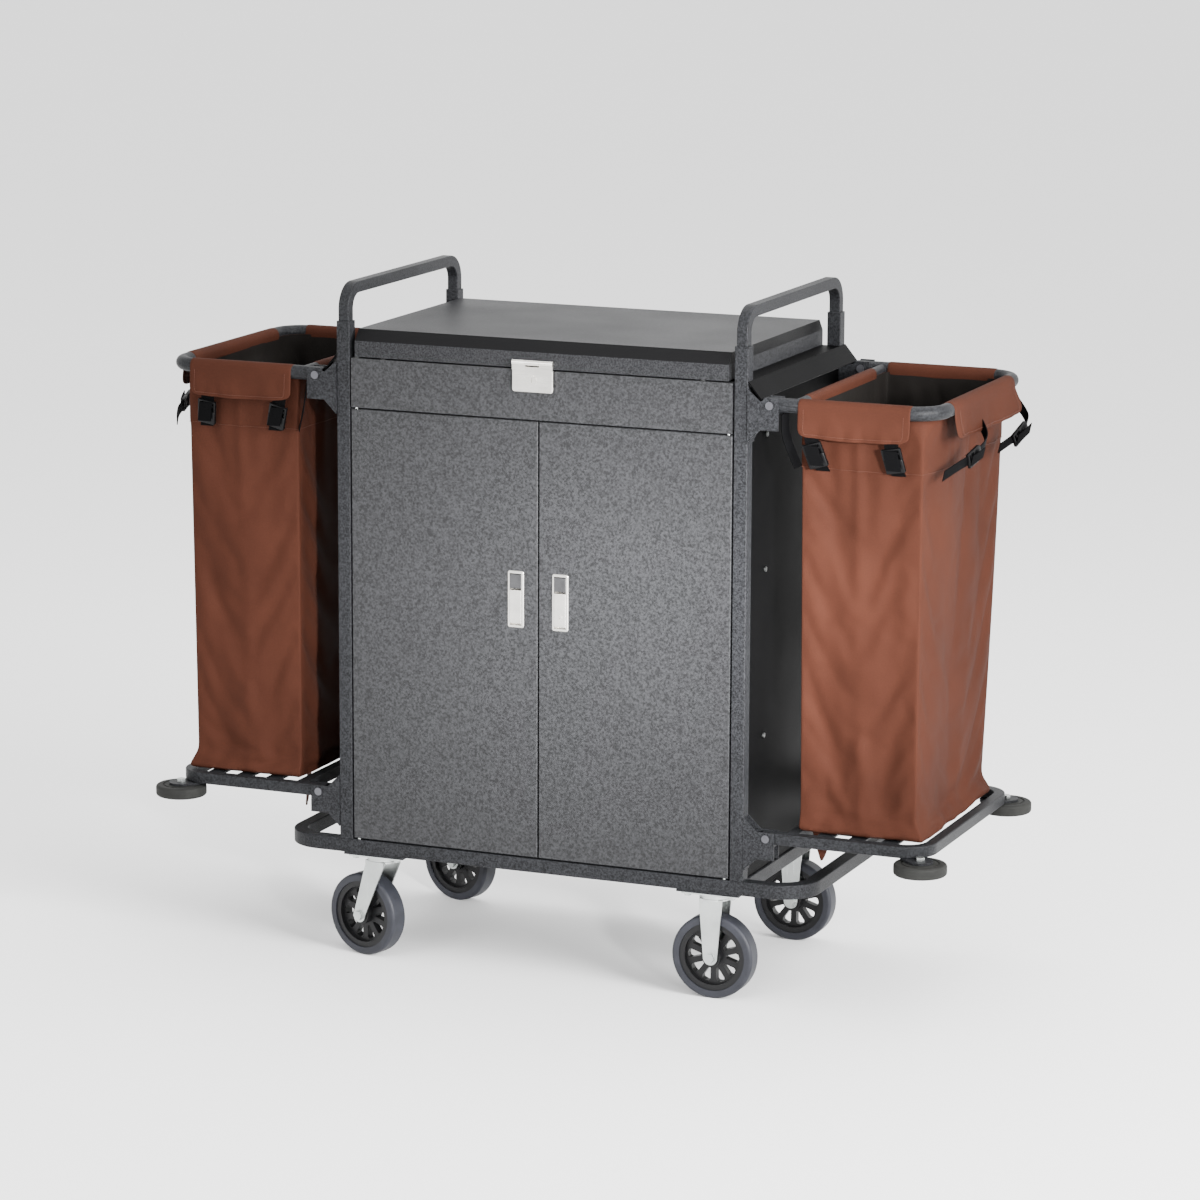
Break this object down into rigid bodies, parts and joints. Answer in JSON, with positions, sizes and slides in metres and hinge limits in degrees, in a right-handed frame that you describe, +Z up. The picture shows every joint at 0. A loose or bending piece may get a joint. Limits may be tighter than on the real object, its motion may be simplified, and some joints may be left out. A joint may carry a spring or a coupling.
{
  "type": "housekeeping cart",
  "caption": "Steel linen cabinet on casters with hinged lid, two locking doors, side handles, and a folding fabric bag with platform and bumper discs at each end.",
  "frame": {"origin": "centre of the footprint on the floor", "axes": "+X along the cart to its right seen from the doors, +Y to the back, +Z up"},
  "size_m": [1.504, 0.572, 1.221],
  "materials": {
    "frame_paint": "textured powder coat",
    "panel_paint": "textured powder coat",
    "black_paint": "satin",
    "tray_plastic": "matte",
    "zinc": "zinc plated",
    "bright_nickel": "polished",
    "button_plastic": "textured",
    "stop_rubber": "matte",
    "wheel_plastic": "matte",
    "tyre_rubber": "matte",
    "disc_rubber": "matte",
    "bag_fabric": "woven polyester"
  },
  "bodies": {
    "root": {"corner_posts": "frame_paint", "handle_bows": "frame_paint", "bumper_rail": "frame_paint", "cross_members": "frame_paint", "floor_panel": "black_paint", "back_panel": "black_paint", "side_panels": "black_paint", "support_angles": "black_paint", "panel_screws": "zinc", "shelves": "black_paint", "amenity_tray": "tray_plastic", "front_fascia": "panel_paint", "side_covers": "black_paint", "lid_hinge_base": "zinc", "lid_bumpers": "stop_rubber", "hasp_strike": "bright_nickel", "door_hinge_pins": "zinc", "caster_plates": "zinc", "caster_bolts": "zinc", "front_right_fork": "zinc", "rear_right_fork": "zinc", "upper_brackets": "frame_paint", "lower_brackets": "frame_paint", "bracket_pins": "zinc", "left_bag": "bag_fabric", "right_bag": "bag_fabric"},
    "lid": {"lid_shell": "panel_paint", "lid_hinge_leaf": "zinc", "hasp_mount": "bright_nickel"},
    "hasp": {"hasp_plate": "bright_nickel"},
    "lid_plug": {"lid_key_plug": "bright_nickel"},
    "left_door": {"left_door": "panel_paint", "left_lock_bezel": "bright_nickel"},
    "right_door": {"right_door": "panel_paint", "right_lock_bezel": "bright_nickel"},
    "left_button": {"left_lock_button": "button_plastic"},
    "right_button": {"right_lock_button": "button_plastic"},
    "left_paddle": {"left_lock_paddle": "bright_nickel"},
    "right_paddle": {"right_lock_paddle": "bright_nickel"},
    "door_plug": {"door_key_plug": "bright_nickel"},
    "front_left_swivel": {"front_left_fork": "zinc"},
    "rear_left_swivel": {"rear_left_fork": "zinc"},
    "front_left_wheel": {"front_left_hub": "wheel_plastic", "front_left_tyre": "tyre_rubber"},
    "rear_left_wheel": {"rear_left_hub": "wheel_plastic", "rear_left_tyre": "tyre_rubber"},
    "front_right_wheel": {"front_right_hub": "wheel_plastic", "front_right_tyre": "tyre_rubber"},
    "rear_right_wheel": {"rear_right_hub": "wheel_plastic", "rear_right_tyre": "tyre_rubber"},
    "left_frame": {"left_bag_frame": "frame_paint"},
    "left_platform": {"left_platform": "frame_paint", "left_disc_bolts": "zinc"},
    "front_left_disc": {"front_left_disc": "disc_rubber"},
    "rear_left_disc": {"rear_left_disc": "disc_rubber"},
    "right_frame": {"right_bag_frame": "frame_paint"},
    "right_platform": {"right_platform": "frame_paint", "right_disc_bolts": "zinc"},
    "front_right_disc": {"front_right_disc": "disc_rubber"},
    "rear_right_disc": {"rear_right_disc": "disc_rubber"}
  },
  "joints": [
    {"name": "lid_hinge", "type": "hinge", "parent": "root", "child": "lid", "pos_m": [0, 0.232, 1.1], "axis": [-1, 0, 0], "range_deg": [0, 90]},
    {"name": "hasp_hinge", "type": "hinge", "parent": "lid", "child": "hasp", "pos_m": [-0.008, -0.2495, 1.1045], "axis": [-1, 0, 0], "range_deg": [0, 100]},
    {"name": "lid_key_turn", "type": "hinge", "parent": "hasp", "child": "lid_plug", "pos_m": [-0.008, -0.2525, 1.075], "axis": [0, -1, 0], "range_deg": [0, 90]},
    {"name": "left_door_hinge", "type": "hinge", "parent": "root", "child": "left_door", "pos_m": [-0.3495, -0.2375, 0.6], "axis": [0, 0, -1], "range_deg": [0, 110]},
    {"name": "right_door_hinge", "type": "hinge", "parent": "root", "child": "right_door", "pos_m": [0.3495, -0.2375, 0.6], "axis": [0, 0, 1], "range_deg": [0, 110]},
    {"name": "left_button_push", "type": "slide", "parent": "left_door", "child": "left_button", "axis": [0, 1, 0], "range_m": [0, 0.003], "stiffness_N_per_m": 300, "springref_m": -0.002},
    {"name": "left_paddle_pull", "type": "hinge", "parent": "left_door", "child": "left_paddle", "pos_m": [-0.042, -0.2425, 0.65], "axis": [1, 0, 0], "range_deg": [0, 60]},
    {"name": "right_button_push", "type": "slide", "parent": "right_door", "child": "right_button", "axis": [0, 1, 0], "range_m": [0, 0.003], "stiffness_N_per_m": 300, "springref_m": -0.002},
    {"name": "right_paddle_pull", "type": "hinge", "parent": "right_door", "child": "right_paddle", "pos_m": [0.042, -0.2425, 0.65], "axis": [1, 0, 0], "range_deg": [0, 60]},
    {"name": "door_key_turn", "type": "hinge", "parent": "right_paddle", "child": "door_plug", "pos_m": [0.042, -0.2465, 0.661], "axis": [0, -1, 0], "range_deg": [0, 90]},
    {"name": "front_left_swivel", "type": "hinge", "parent": "root", "child": "front_left_swivel", "pos_m": [-0.32, -0.203, 0.185], "axis": [0, 0, 1], "continuous": true},
    {"name": "rear_left_swivel", "type": "hinge", "parent": "root", "child": "rear_left_swivel", "pos_m": [-0.32, 0.203, 0.185], "axis": [0, 0, 1], "continuous": true},
    {"name": "front_left_roll", "type": "hinge", "parent": "front_left_swivel", "child": "front_left_wheel", "pos_m": [-0.35477, -0.19368, 0.075], "axis": [0.2588, 0.9659, 0], "continuous": true},
    {"name": "rear_left_roll", "type": "hinge", "parent": "rear_left_swivel", "child": "rear_left_wheel", "pos_m": [-0.35477, 0.21232, 0.075], "axis": [0.2588, 0.9659, 0], "continuous": true},
    {"name": "front_right_roll", "type": "hinge", "parent": "root", "child": "front_right_wheel", "pos_m": [0.32, -0.203, 0.075], "axis": [0, 1, 0], "continuous": true},
    {"name": "rear_right_roll", "type": "hinge", "parent": "root", "child": "rear_right_wheel", "pos_m": [0.32, 0.203, 0.075], "axis": [0, 1, 0], "continuous": true},
    {"name": "left_platform_fold", "type": "hinge", "parent": "root", "child": "left_platform", "pos_m": [-0.427, 0, 0.304], "axis": [0, 1, 0], "range_deg": [0, 90], "deforming": ["left_bag"]},
    {"name": "left_frame_fold", "type": "hinge", "parent": "root", "child": "left_frame", "pos_m": [-0.426, 0, 1.058], "axis": [0, -1, 0], "range_deg": [0, 90]},
    {"name": "front_left_disc_spin", "type": "hinge", "parent": "left_platform", "child": "front_left_disc", "pos_m": [-0.706, -0.24, 0.28], "axis": [0, 0, 1], "continuous": true},
    {"name": "rear_left_disc_spin", "type": "hinge", "parent": "left_platform", "child": "rear_left_disc", "pos_m": [-0.706, 0.24, 0.28], "axis": [0, 0, 1], "continuous": true},
    {"name": "right_platform_fold", "type": "hinge", "parent": "root", "child": "right_platform", "pos_m": [0.427, 0, 0.304], "axis": [0, -1, 0], "range_deg": [0, 90], "deforming": ["right_bag"]},
    {"name": "right_frame_fold", "type": "hinge", "parent": "root", "child": "right_frame", "pos_m": [0.426, 0, 1.058], "axis": [0, 1, 0], "range_deg": [0, 90]},
    {"name": "front_right_disc_spin", "type": "hinge", "parent": "right_platform", "child": "front_right_disc", "pos_m": [0.706, -0.24, 0.28], "axis": [0, 0, 1], "continuous": true},
    {"name": "rear_right_disc_spin", "type": "hinge", "parent": "right_platform", "child": "rear_right_disc", "pos_m": [0.706, 0.24, 0.28], "axis": [0, 0, 1], "continuous": true}
  ],
  "couplings": [
    {"joint": "left_frame_fold", "follows": "left_platform_fold", "ratio": 1},
    {"joint": "right_frame_fold", "follows": "right_platform_fold", "ratio": 1}
  ]
}
